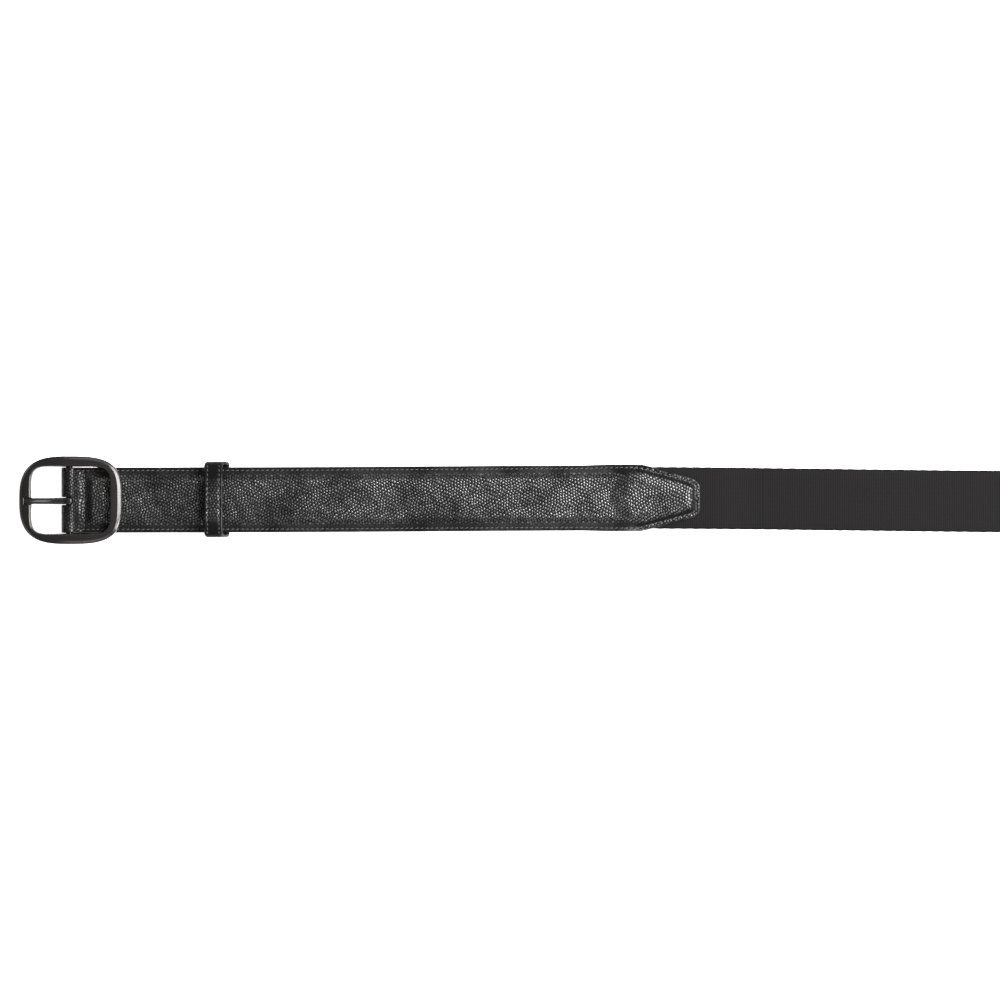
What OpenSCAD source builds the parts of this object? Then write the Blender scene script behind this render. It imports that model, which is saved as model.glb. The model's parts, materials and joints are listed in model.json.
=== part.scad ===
// Stretch riding belt, laid flat with the buckle at -X and the tail's tip at +X.
// Millimetres, +Z up. Each sub-part is built from the buckle bar's axis at x = 0, and from_bar()
// then moves it so that the origin is under the middle of the belt, on the surface it lies on.

/* [Belt] */
// Size of the belt: from the buckle's bar to the middle hole
belt_size = 850; // [750:50:1000]
// From the buckle's bar to the tip of the front leather's tab
front_l = 367; // [340:1:400]
// Width of the leather strap
strap_w = 38; // [34:1:42]

/* [Leather] */
// Thickness of the face leather
face_t = 1.4; // [1.2:0.1:1.6]
// Thickness of the lining leather
lining_t = 1; // [0.8:0.1:1.2]
// How far the strap end is turned back under the strap, from the bar
turn_back_l = 33; // [28:1:36]
// Height of the front's padding
front_pad_h = 2; // [1:0.1:2.2]
// Height of the tail's padding
tail_pad_h = 1.2; // [0.8:0.1:1.6]
// Width of the flat top of the padded crown, on the outside
crown_w = 22; // [18:1:24]
// Length of a tab from its tip to the full width
tab_l = 33.7; // [28:0.1:38]
// Width of a tab's blunt end
tab_end_w = 16.4; // [12:0.2:20]

/* [Elastic] */
// Thickness of the elastic webbing
elastic_t = 2; // [1.6:0.1:2.2]
// How far each end of the elastic reaches in under the leather
elastic_tuck = 43; // [40:1:50]

/* [Buckle] */
// Length of the buckle frame along the belt
frame_l = 61.2; // [58:0.2:64]
// Thickness of the arched frame
frame_t = 3.2; // [2.6:0.1:3.6]
// Width of the frame's side rails
rail_w = 5.8; // [5:0.1:7]
// Radius of the frame's arch
arch_r = 110; // [100:5:140]
// Height of the frame's arch above the bar's axis
arch_up = 5.2; // [5:0.1:5.6]
// Radius of the bar
bar_r = 2; // [1.6:0.1:2.2]
// Width of the prong
prong_w = 3.8; // [3:0.1:4.4]

/* [Keeper] */
// Width of the keeper along the belt
keeper_w = 10.7; // [9:0.1:13]
// Thickness of the keeper's leather
keeper_t = 1.8; // [1.4:0.1:1.8]
// From the buckle's bar to the keeper's near edge
keeper_x = 79; // [50:1:120]

/* [Holes] */
// Number of punched holes
hole_count = 5; // [3:2:7]
// Distance from hole to hole
hole_pitch = 25; // [20:1:25]
// Radius of a hole
hole_r = 2.4; // [2:0.1:2.8]

/* [Hidden] */
$fn = 64;
bar_gap = 0.1;
eye_r = bar_r + bar_gap;
fold_mid_r = eye_r + lining_t;
fold_r = fold_mid_r + face_t;
bar_z = fold_r;

// heights of the front's layers: the turned-back end lies under them
front_z = face_t + lining_t;
front_face_z = front_z + lining_t;
margin_z = front_face_z + face_t;
crown_z = margin_z + front_pad_h;

// stations along the belt, from the bar
valley_x = 8.6;
pad_start_x = 10;
tuck_x = front_l - elastic_tuck;
pad_end_x = tuck_x - 3;
hinge_x = front_l + 13;
tail_x = belt_size - 113;
tail_tuck_x = tail_x + elastic_tuck;
tail_pad_x = tail_tuck_x + 4;
tail_end_x = belt_size + 140;
tip_l = 20;
pad_tip_gap = 12;

// cross-section of the padded crown
crown_run = 3.5;
pad_ramp = 4;

// elastic: down from the front tab to the surface, and up into the tail
elastic_w = strap_w - 2;
ramp_x = front_l + 5;
ramp_l = 30;
tail_ramp_l = 18;

// stitches
row_inset = 2;
thread_w = 0.6;
thread_h = 0.25;

// buckle frame, in its own coordinates with the bar's axis at the origin
opening_h = strap_w + 1.6;
frame_h = opening_h + 2 * rail_w;
frame_shift = 0.9;
rim_l = 7.3;
rim_r = 6.4;
frame_left = frame_l / 2 - frame_shift;
frame_right = frame_l / 2 + frame_shift;
lug_r = bar_r + 1.3;
lug_in = opening_h / 2;
lug_out = frame_h / 2 - 0.5;
bar_half = lug_out - 0.8;
// the left rim rests on the surface, which tilts the frame about the bar
rim_low = arch_z(-frame_left, -frame_t / 2);
tilt = asin(bar_z / norm([frame_left, rim_low])) - atan2(-rim_low, frame_left);

// prong
prong_y = -0.5;
prong_r = fold_r - 1;
slot_w = prong_w + 1.2;
slot_top_x = 4.2;
tip_x = -26.3;
tip_top = 0.4;
tip_low = -1;
notch_gap = 0.2;

// keeper: the strap and the tail pass inside it
keeper_in_w = strap_w + 2.4;
keeper_in_z = front_z - 0.3;
keeper_in_h = crown_z - front_z + 4.6;
keeper_corner = 3.7;
keeper_low_corner = 1.2;
staple_w = 0.6;
staple_l = 7;

// the lowest x is the tilted frame's left top edge
x_min = -frame_left * cos(tilt) - arch_z(-frame_left, frame_t / 2) * sin(tilt);
bar_x = -(x_min + tail_end_x) / 2;

leather = [0.2, 0.19, 0.19];
lining_black = [0.15, 0.14, 0.14];
black_metal = [0.12, 0.11, 0.11];
black_thread = [0.1, 0.1, 0.1];
webbing = [0.19, 0.18, 0.18];

// ---------- shared shapes ----------

function reverse(list) = [for (i = [len(list) - 1:-1:0]) list[i]];

// height of the arch's surface at x, a distance off its middle
function arch_z(x, off) =
    arch_up - arch_r + sqrt(pow(arch_r + off, 2) - pow(x - frame_shift, 2));

// an oval that is squarer for a larger power, with its own reach and power on each side
function oval(left, right, half_h, power_l, power_r) = [
    for (a = [0:5:355])
        let (c = cos(a), s = sin(a))
        let (reach = c < 0 ? left : right, power = c < 0 ? power_l : power_r)
        [sign(c) * reach * pow(abs(c), 2 / power), sign(s) * half_h * pow(abs(s), 2 / power)]
];

// the angle round the bar at which a line to the point p touches a circle of radius r
function touch_angle(r, p) = atan2(p[1], p[0]) + acos(r / norm(p));

// an arc round the bar, in about ten-degree steps
function arc(r, from, to) =
    let (steps = ceil(abs(to - from) / 10))
    [for (i = [0:steps]) let (a = from + (to - from) * i / steps) [r * cos(a), bar_z + r * sin(a)]];

// half of a tab's outline: full width, the taper, and the blunt end, drawn towards +X
function tab_side(tip, inset) =
    let (w = strap_w / 2 - inset, e = tab_end_w / 2 - inset * 0.6, t = tip - inset)
    [[tip - tab_l - inset * 0.2, w], [t - 4, e + 3], [t - 1, e + 1.2], [t, e - 0.6]];

function flip(points) = [for (p = reverse(points)) [p[0], -p[1]]];

module from_bar() translate([bar_x, 0, 0]) children();

// a profile in X and Z, pulled out across the belt
module across(w) translate([0, w / 2, 0]) rotate([90, 0, 0]) linear_extrude(w) children();

// the strap end's outline from the side: turned back below, round the bar at a radius, then along
function fold_side(r, top) = concat(
    [[turn_back_l, bar_z - r]],
    arc(r, 270, touch_angle(r, [valley_x, top - bar_z])),
    [[valley_x, top], [front_l, top]]
);

// the front's outline from above, from past the fold to the tab
module front_outline(inset = 0, from = -10) {
    side = tab_side(front_l, inset);
    polygon(concat([[from, strap_w / 2 - inset]], side, flip(side),
        [[from, inset - strap_w / 2]]));
}

// the tail's outline from above: a tab at its left end and a round tip at its right end
module tail_outline(inset = 0) {
    tab = [for (p = flip(tab_side(-tail_x, inset))) [-p[0], -p[1]]];
    w = strap_w / 2 - inset;
    start = tail_end_x - tip_l;
    tip = [
        for (a = [90:-10:0])
            [start + (tip_l - inset) * pow(cos(a), 0.8), w * pow(sin(a), 0.8)]
    ];
    half = concat(tab, tip);
    polygon(concat(half, flip(half)));
}

// the padding's shape: a flat crown with sloping sides and ends
module pad(x0, x1, z, w, h) {
    intersection() {
        translate([x0, 0, 0]) rotate([90, 0, 90]) linear_extrude(x1 - x0)
            polygon([
                [-w / 2 - crown_run, z], [w / 2 + crown_run, z],
                [w / 2, z + h], [-w / 2, z + h]
            ]);
        across(strap_w)
            polygon([[x0, z], [x1, z], [x1 - pad_ramp, z + h], [x0 + pad_ramp, z + h]]);
    }
}

module outline_row(z) {
    translate([0, 0, z]) linear_extrude(thread_h) children();
}

module holes() {
    for (i = [0:hole_count - 1])
        translate([belt_size + (i - (hole_count - 1) / 2) * hole_pitch, 0, -1])
            cylinder(r = hole_r, h = 20);
}

// a bar-shaped prism round the elastic's tucked end
module tuck_pocket(x0, x1, z) {
    translate([x0, -elastic_w / 2, z]) cube([x1 - x0, elastic_w, elastic_t]);
}

// a closed row of thread inside an outline, kept between two stations
module edge_row(x0, x1) {
    intersection() {
        children();
        translate([x0, -strap_w]) square([x1 - x0, 2 * strap_w]);
    }
}

// ---------- buckle ----------

module in_frame() from_bar() translate([0, 0, bar_z]) rotate([0, -tilt, 0]) children();

module frame_ring() {
    intersection() {
        translate([0, 0, -10]) linear_extrude(30) difference() {
            polygon(oval(frame_left, frame_right, frame_h / 2, 2.8, 3.4));
            polygon(oval(frame_left - rim_l, frame_right - rim_r, opening_h / 2, 6, 6));
        }
        translate([frame_shift, 0, arch_up - arch_r]) rotate([90, 0, 0]) difference() {
            cylinder(r = arch_r + frame_t / 2, h = 100, center = true, $fn = 128);
            cylinder(r = arch_r - frame_t / 2, h = 120, center = true, $fn = 128);
        }
    }
}

module lug(side) {
    low_y = side > 0 ? lug_in : -lug_out;
    translate([0, low_y, 0]) {
        rotate([-90, 0, 0]) cylinder(r = lug_r, h = lug_out - lug_in);
        translate([-lug_r, 0, 0]) cube([2 * lug_r, lug_out - lug_in, arch_up]);
    }
}

module buckle_frame() {
    color(black_metal) difference() {
        in_frame() difference() {
            union() {
                frame_ring();
                lug(1);
                lug(-1);
            }
            rotate([90, 0, 0]) cylinder(r = bar_r, h = 2 * bar_half, center = true);
        }
        // notch in the left rim, where the prong's tip rests
        from_bar() translate([tip_x - 0.5, prong_y - prong_w / 2 - 0.3, bar_z + tip_low - notch_gap])
            cube([6, prong_w + 0.6, 6]);
    }
}

module buckle_bar() {
    color(black_metal) from_bar() translate([0, 0, bar_z]) rotate([90, 0, 0])
        cylinder(r = bar_r, h = 2 * bar_half, center = true);
}

module prong() {
    color(black_metal) from_bar() translate([0, prong_y, bar_z]) difference() {
        union() {
            rotate([90, 0, 0]) cylinder(r = prong_r, h = prong_w, center = true);
            across(prong_w) polygon([
                [0, prong_r], [-8, 2.6], [-22, 1.3], [tip_x + 1, tip_top + 0.5],
                [tip_x, tip_top], [tip_x, tip_low + 0.3], [tip_x + 1, tip_low],
                [-8, -0.4], [-1.5, -3]
            ]);
        }
        rotate([90, 0, 0]) cylinder(r = eye_r, h = 10, center = true);
    }
}

// ---------- front strap ----------

// the opening in the folded strap end that the prong turns in
module prong_slot() {
    translate([-fold_r - 2, prong_y - slot_w / 2, -1])
        cube([fold_r + 2 + slot_top_x, slot_w, bar_z + fold_r + 2]);
}

module front_cut(h) translate([0, 0, -1]) linear_extrude(h) front_outline();

module front_face_leather() {
    color(leather) from_bar() difference() {
        intersection() {
            union() {
                across(strap_w) polygon(concat(
                    fold_side(fold_r, margin_z), reverse(fold_side(fold_mid_r, front_face_z))
                ));
                pad(pad_start_x, pad_end_x, margin_z, crown_w, front_pad_h);
                // the leather steps up over the elastic's end
                translate([tuck_x - 1.5, -strap_w / 2, front_face_z])
                    cube([front_l - tuck_x + 1.5, strap_w, elastic_t + face_t]);
            }
            front_cut(20);
        }
        pad(pad_start_x + 1, pad_end_x - 1, front_face_z, crown_w - 1, front_pad_h);
        tuck_pocket(tuck_x, front_l + 1, front_face_z);
        prong_slot();
    }
}

module front_filler() {
    color(lining_black) from_bar()
        pad(pad_start_x + 1, pad_end_x - 1, front_face_z, crown_w - 1, front_pad_h);
}

module front_lining() {
    // the turned-back end lies against the strap, so the lining has one outline and an eye
    outline = concat(
        fold_side(fold_mid_r, front_face_z), [[front_l, front_z], [turn_back_l, front_z]]
    );
    eye = [for (i = [1:len(fold_side(eye_r, front_z)) - 2]) fold_side(eye_r, front_z)[i]];
    color(lining_black) from_bar() difference() {
        intersection() {
            across(strap_w) difference() {
                polygon(outline);
                polygon(eye);
            }
            front_cut(20);
        }
        prong_slot();
    }
}

// rows along both margins, then round the tab
module front_rows(from) {
    difference() {
        front_outline(row_inset - thread_w / 2, from);
        front_outline(row_inset + thread_w / 2, from - 1);
    }
}

module front_needle_thread() {
    color(black_thread) from_bar() {
        outline_row(margin_z) edge_row(pad_start_x, tuck_x - 2) front_rows(0);
        outline_row(front_face_z + elastic_t + face_t) edge_row(tuck_x + 1, front_l) front_rows(0);
    }
}

module front_bobbin_thread() {
    color(black_thread) from_bar()
        outline_row(front_z - thread_h) edge_row(turn_back_l + 2, front_l) front_rows(0);
}

// the row across the strap that closes the fold behind the bar
module fold_thread() {
    color(black_thread) from_bar()
        translate([valley_x + 0.1, row_inset - strap_w / 2, margin_z])
            cube([thread_w, strap_w - 2 * row_inset, thread_h]);
}

// ---------- keeper ----------

// a rectangle standing on y = 0, with one radius for its lower corners and one for its upper
module rounded(w, h, low_r, high_r) {
    for (side = [-1, 1]) {
        translate([side * (w / 2 - low_r), low_r]) circle(low_r);
        translate([side * (w / 2 - high_r), h - high_r]) circle(high_r);
    }
    translate([low_r - w / 2, 0]) square([w - 2 * low_r, h / 2]);
    translate([high_r - w / 2, h / 2]) square([w - 2 * high_r, h / 2]);
    translate([-w / 2, low_r]) square([w, h - low_r - high_r]);
}

module staple_legs() {
    for (x = [keeper_w * 0.3, keeper_w * 0.7], side = [-1, 1])
        translate([keeper_x + x - staple_w / 2, side * (staple_l / 2 - 0.3) - 0.3,
            keeper_in_z - keeper_t - thread_h])
            cube([staple_w, 0.6, keeper_t + thread_h]);
}

module keeper_band() {
    color(leather) from_bar() difference() {
        translate([keeper_x, 0, 0]) rotate([90, 0, 90]) linear_extrude(keeper_w)
            translate([0, keeper_in_z]) difference() {
                translate([0, -keeper_t])
                    rounded(keeper_in_w + 2 * keeper_t, keeper_in_h + 2 * keeper_t,
                        keeper_low_corner + keeper_t, keeper_corner + keeper_t);
                rounded(keeper_in_w, keeper_in_h, keeper_low_corner, keeper_corner);
            }
        // the band's two ends meet under the strap
        translate([keeper_x - 1, -0.1, keeper_in_z - keeper_t - 1])
            cube([keeper_w + 2, 0.2, keeper_t + 2]);
        staple_legs();
    }
}

module keeper_staples() {
    color(black_metal) from_bar() {
        staple_legs();
        for (x = [keeper_w * 0.3, keeper_w * 0.7])
            translate([keeper_x + x - staple_w / 2, -staple_l / 2,
                keeper_in_z - keeper_t - thread_h])
                cube([staple_w, staple_l, thread_h]);
    }
}

module keeper_thread() {
    row_l = keeper_in_w - 2 * keeper_corner;
    color(black_thread) from_bar()
        for (x = [row_inset, keeper_w - row_inset])
            translate([keeper_x + x - thread_w / 2, -row_l / 2,
                keeper_in_z + keeper_in_h + keeper_t])
                cube([thread_w, row_l, thread_h]);
}

// ---------- elastic ----------

module elastic_band() {
    tail_z = lining_t;
    low = [
        [tuck_x + 1, front_face_z], [ramp_x, front_face_z], [ramp_x + ramp_l, 0],
        [tail_x - tail_ramp_l, 0], [tail_x - 2, tail_z], [tail_tuck_x - 1, tail_z]
    ];
    high = [for (p = reverse(low)) p + [0, elastic_t]];
    color(webbing) from_bar() across(elastic_w) polygon(concat(low, high));
}

// ---------- tail ----------

module tail_cut(h) linear_extrude(h) tail_outline();

module tail_face_leather() {
    color(leather) from_bar() difference() {
        intersection() {
            union() {
                translate([tail_x, -strap_w / 2, lining_t])
                    cube([tail_end_x - tail_x, strap_w, face_t]);
                pad(tail_pad_x - 1, tail_end_x - pad_tip_gap + 1, lining_t + face_t, crown_w,
                    tail_pad_h);
                translate([tail_x, -strap_w / 2, lining_t])
                    cube([tail_tuck_x - tail_x + 1.5, strap_w, elastic_t + face_t]);
            }
            tail_cut(20);
        }
        pad(tail_pad_x, tail_end_x - pad_tip_gap, lining_t, crown_w - 1, tail_pad_h);
        tuck_pocket(tail_x - 1, tail_tuck_x, lining_t);
        holes();
    }
}

module tail_filler() {
    color(lining_black) from_bar() difference() {
        pad(tail_pad_x, tail_end_x - pad_tip_gap, lining_t, crown_w - 1, tail_pad_h);
        holes();
    }
}

module tail_rows() {
    difference() {
        tail_outline(row_inset - thread_w / 2);
        tail_outline(row_inset + thread_w / 2);
    }
}

module tail_bobbin_rows() outline_row(0) tail_rows();

module tail_lining() {
    color(lining_black) from_bar() difference() {
        tail_cut(lining_t);
        holes();
        tail_bobbin_rows();
    }
}

module tail_needle_thread() {
    color(black_thread) from_bar() {
        outline_row(lining_t + elastic_t + face_t)
            edge_row(tail_x, tail_tuck_x - 1) tail_rows();
        outline_row(lining_t + face_t) edge_row(tail_tuck_x + 2, tail_end_x) tail_rows();
    }
}

module tail_bobbin_thread() {
    color(black_thread) from_bar() tail_bobbin_rows();
}

buckle_frame();
buckle_bar();
prong();
front_face_leather();
front_filler();
front_lining();
front_needle_thread();
front_bobbin_thread();
fold_thread();
keeper_band();
keeper_staples();
keeper_thread();
elastic_band();
tail_face_leather();
tail_filler();
tail_lining();
tail_needle_thread();
tail_bobbin_thread();
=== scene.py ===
"""The looks of a stretch riding belt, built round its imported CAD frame.

Lengths are millimetres, with x = 0 at the buckle bar's axis, and row() turns them into the
frame's metres. Only the floor, the lights and the camera are in metres. The leather pieces are
sheets: a point has a place s along the sheet, v across it, and h above its outer surface.
"""

import json
import math

import bmesh
import bpy
import numpy as np
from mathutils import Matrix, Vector
from mathutils.geometry import delaunay_2d_cdt
from mathutils.kdtree import KDTree


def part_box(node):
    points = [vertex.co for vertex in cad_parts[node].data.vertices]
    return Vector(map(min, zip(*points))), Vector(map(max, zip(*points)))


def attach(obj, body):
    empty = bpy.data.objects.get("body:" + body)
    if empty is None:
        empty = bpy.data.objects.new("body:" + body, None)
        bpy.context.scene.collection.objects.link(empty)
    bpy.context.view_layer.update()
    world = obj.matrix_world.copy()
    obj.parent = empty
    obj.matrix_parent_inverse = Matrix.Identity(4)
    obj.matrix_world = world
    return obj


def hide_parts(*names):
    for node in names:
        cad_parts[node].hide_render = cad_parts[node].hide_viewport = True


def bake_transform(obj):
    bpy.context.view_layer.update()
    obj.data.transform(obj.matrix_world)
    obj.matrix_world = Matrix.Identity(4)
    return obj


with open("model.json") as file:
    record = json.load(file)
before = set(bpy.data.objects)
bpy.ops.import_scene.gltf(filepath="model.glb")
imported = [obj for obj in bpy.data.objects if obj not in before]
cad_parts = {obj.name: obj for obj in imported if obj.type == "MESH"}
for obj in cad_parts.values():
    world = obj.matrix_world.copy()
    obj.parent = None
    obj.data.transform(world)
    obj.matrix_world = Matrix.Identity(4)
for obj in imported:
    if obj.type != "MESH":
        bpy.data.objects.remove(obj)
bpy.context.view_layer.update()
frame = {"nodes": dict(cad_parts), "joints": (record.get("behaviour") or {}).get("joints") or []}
MM = 0.001
JOINTS = {j["name"]: j for j in frame["joints"]}
BAR_X, BAR_Z = (JOINTS["buckle_swing"]["pos_m"][i] / MM for i in (0, 2))
HINGE_X = JOINTS["elastic_bend"]["pos_m"][0] / MM - BAR_X
RNG = np.random.default_rng(7)


def node_box(node):
    """A CAD node's lowest and highest corner, in millimetres from the bar."""
    lo, hi = (np.array(p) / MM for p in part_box(node))
    return lo - [BAR_X, 0, 0], hi - [BAR_X, 0, 0]


# ---- sizes, as the CAD has them ----
STRAP_W = node_box("front_face_leather")[1][1] * 2
TIP_X = node_box("front_face_leather")[1][0]
TAIL_X, TAIL_END_X = node_box("tail_face_leather")[0][0], node_box("tail_face_leather")[1][0]
TURN_BACK_X = 33.0
FACE_T, LINING_T, ELASTIC_T = 1.4, 1.0, 2.0
FOLD_R = BAR_Z
EYE_R = FOLD_R - FACE_T - LINING_T
VALLEY_X = 8.6
MARGIN_Z = FACE_T * 2 + LINING_T * 2
TAB_L, TAB_END_W = 33.7, 16.4
TUCK_X = node_box("elastic_band")[0][0] - 1
TAIL_TUCK_X = node_box("elastic_band")[1][0] + 1
FRONT_PAD_H, TAIL_PAD_H, DOME_H = 2.0, 1.2, 1.3
CROWN_HALF, CROWN_FOOT = 10.8, 14.6
PRONG_Y = (node_box("prong")[0][1] + node_box("prong")[1][1]) / 2
PRONG_W = node_box("prong")[1][1] - node_box("prong")[0][1]
HOLE_R, HOLE_PITCH, HOLE_COUNT, BELT_SIZE = 2.4, 25.0, 5, 850.0
# the grain: the pebbles' pitch and height, and the shade of plain leather between crest and valley
PEBBLE, PEBBLE_H, SMOOTH_SHADE = 1.84, 0.34, 0.44
EDGE_SHADE = 0.8 * SMOOTH_SHADE
# a stitched row's distance from the edge and how much more it is round a tab, its pitch and thread
ROW_IN, ROW_IN_TAB, STITCH, THREAD_R = 1.9, 0.6, 2.9, 0.3
GROOVE_HALF, GROOVE_DEEP = 0.5, 0.18
# how far the keeper's low side is shifted along the belt, and the whole across it; its rows
KEEPER_SKEW, KEEPER_STRAY, KEEPER_ROW_IN = 3.2, 0.25, 2.0


def smooth(t):
    """0 up to t = 0 and 1 from t = 1, with a soft step between."""
    t = np.clip(t, 0, 1)
    return t * t * (3 - 2 * t)


def hump(off, half):
    """A soft hump: 1 at its middle, a third at a distance half, next to nothing at twice it."""
    return np.exp(-((off / half) ** 2))


def bow(x):
    """How far the belt lies off a straight line, in Y: a slow curve that a soft strap takes."""
    places = [-40, 0, 140, 250, 345, 440, 540, 640, 735, 1000]
    offsets = [0, 0, 0.3, 1.05, 1.5, 0.4, -0.9, -0.9, 0, 0]
    fine = np.arange(-40, 1001, 4.0)
    y = np.interp(fine, places, offsets)
    for _ in range(6):
        y = np.convolve(np.pad(y, 4, mode="edge"), np.ones(9) / 9, mode="valid")
    return np.interp(x, fine, y)


def row(points, bent=True):
    """Millimetres from the bar to the frame's metres, with the strap's slow curve."""
    p = np.array(points, float)
    if bent:
        p[:, 1] += bow(p[:, 0])
    p[:, 0] += BAR_X
    return p * MM


# ---- mesh helpers ----
def make(name, points, faces, material, body=None, cad=(), slot=None, relief=None, bent=True):
    """A piece from points in millimetres. It rides on a body and stands for CAD nodes. relief
    is a level for each point that the materials read: the share of its grain's height, lowered by
    a groove's shine factor, from which the leather and the webbing are painted darker in the
    hollows, which is painted shade; on the prong it marks a painted highlight instead."""
    mesh = bpy.data.meshes.new(name)
    mesh.from_pydata(row(points, bent).tolist(), [], [list(map(int, f)) for f in faces])
    mesh.validate()
    mesh.update()
    mesh.polygons.foreach_set("use_smooth", [True] * len(mesh.polygons))
    if relief is not None:
        attribute = mesh.attributes.new("relief", "FLOAT", "POINT")
        attribute.data.foreach_set("value", np.array(relief, np.float32))
    obj = bpy.data.objects.new(name, mesh)
    bpy.context.scene.collection.objects.link(obj)
    obj.data.materials.append(material)
    if body:
        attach(obj, body)
    if cad:
        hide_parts(*cad)
    return obj


def loft(rings, close_ends=True):
    """Faces between closed rings of equal point counts, as (points, faces)."""
    rings = np.array(rings, float)
    count, around = rings.shape[:2]
    faces = []
    for i in range(count - 1):
        for j in range(around):
            k = (j + 1) % around
            faces.append((i * around + j, i * around + k, (i + 1) * around + k, (i + 1) * around + j))
    if close_ends:
        faces.append(tuple(range(around))[::-1])
        faces.append(tuple((count - 1) * around + j for j in range(around)))
    return rings.reshape(-1, 3), faces


def rounded_loop(corners, radii, step):
    """A closed loop through corners, each turned on an arc, with points about a step apart."""
    corners = [np.array(c, float) for c in corners]
    out = []
    for i, c in enumerate(corners):
        before, after, r = corners[i - 1], corners[(i + 1) % len(corners)], radii[i]
        a, b = (before - c) / np.linalg.norm(before - c), (after - c) / np.linalg.norm(after - c)
        half = math.acos(np.clip(a @ b, -1, 1)) / 2
        cut = r / math.tan(half)
        start, end = c + a * cut, c + b * cut
        centre = c + (a + b) / np.linalg.norm(a + b) * r / math.sin(half)
        turn = math.pi - 2 * half
        n = max(2, int(math.ceil(r * turn / step)))
        u, w = start - centre, end - centre
        for t in (k / n for k in range(n + 1)):
            arm = u * math.sin((1 - t) * turn) + w * math.sin(t * turn)
            out.append(centre + arm / math.sin(turn))
    return resample(np.array(out), step)


def resample(loop, step):
    """Even points about a step apart round a closed loop."""
    closed = np.vstack([loop, loop[:1]])
    run = np.concatenate([[0], np.cumsum(np.linalg.norm(np.diff(closed, axis=0), axis=1))])
    n = max(12, int(round(run[-1] / step)))
    at = np.arange(n) / n * run[-1]
    return np.stack([np.interp(at, run, closed[:, i]) for i in range(2)], 1)


def inset(loop, by):
    """A closed anticlockwise loop moved inwards by a distance, or outwards if it's negative."""
    ahead, behind = np.roll(loop, -1, 0), np.roll(loop, 1, 0)
    run = ahead - behind
    run /= np.linalg.norm(run, axis=1)[:, None]
    return loop + np.stack([-run[:, 1], run[:, 0]], 1) * np.reshape(by, (-1, 1))


def distance_to(loop, points):
    """How far each point is from a loop's nearest point."""
    tree = KDTree(len(loop))
    for i, p in enumerate(loop):
        tree.insert((p[0], p[1], 0), i)
    tree.balance()
    return np.array([tree.find((p[0], p[1], 0))[2] for p in points])


def triangulate(loops, inside, clear):
    """Triangles between loops (the first is the outside one) and over the points inside them
    that lie clear of the loops. Returns the points used (loops first), the triangles, how many
    points the loops have, and which of the inside points were kept."""
    keep = np.ones(len(inside), bool)
    for i, loop in enumerate(loops):
        within = in_loop(loop, inside)
        keep &= within if i == 0 else ~within
    inside = inside[keep]
    far = distance_to(np.vstack([resample(loop, clear / 2) for loop in loops]), inside) > clear
    inside = inside[far]
    kept = np.flatnonzero(keep)[far]
    points = np.vstack(loops + [inside])
    edges, first = [], 0
    for loop in loops:
        n = len(loop)
        edges += [(first + i, first + (i + 1) % n) for i in range(n)]
        first += n
    done = delaunay_2d_cdt([Vector(p) for p in points.tolist()], edges, [], 0, 1e-7)
    source = [o[0] for o in done[3]]
    triangles = np.array([[source[i] for i in f] for f in done[2]])
    middle = points[triangles].mean(1)
    near = np.flatnonzero((triangles < first).all(1))
    good = np.ones(len(triangles), bool)
    for i, loop in enumerate(loops):
        within = in_loop(loop, middle[near])
        good[near] &= within if i == 0 else ~within
    return points, triangles[good], first, kept


def in_loop(loop, points):
    """Which points lie inside a closed loop, by counting crossings."""
    result = np.zeros(len(points), bool)
    x, y = points[:, 0], points[:, 1]
    for (x0, y0), (x1, y1) in zip(loop, np.roll(loop, -1, 0)):
        if y0 == y1:
            continue
        crosses = ((y0 > y) != (y1 > y)) & (x < (x1 - x0) * (y - y0) / (y1 - y0) + x0)
        result ^= crosses
    return result


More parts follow.
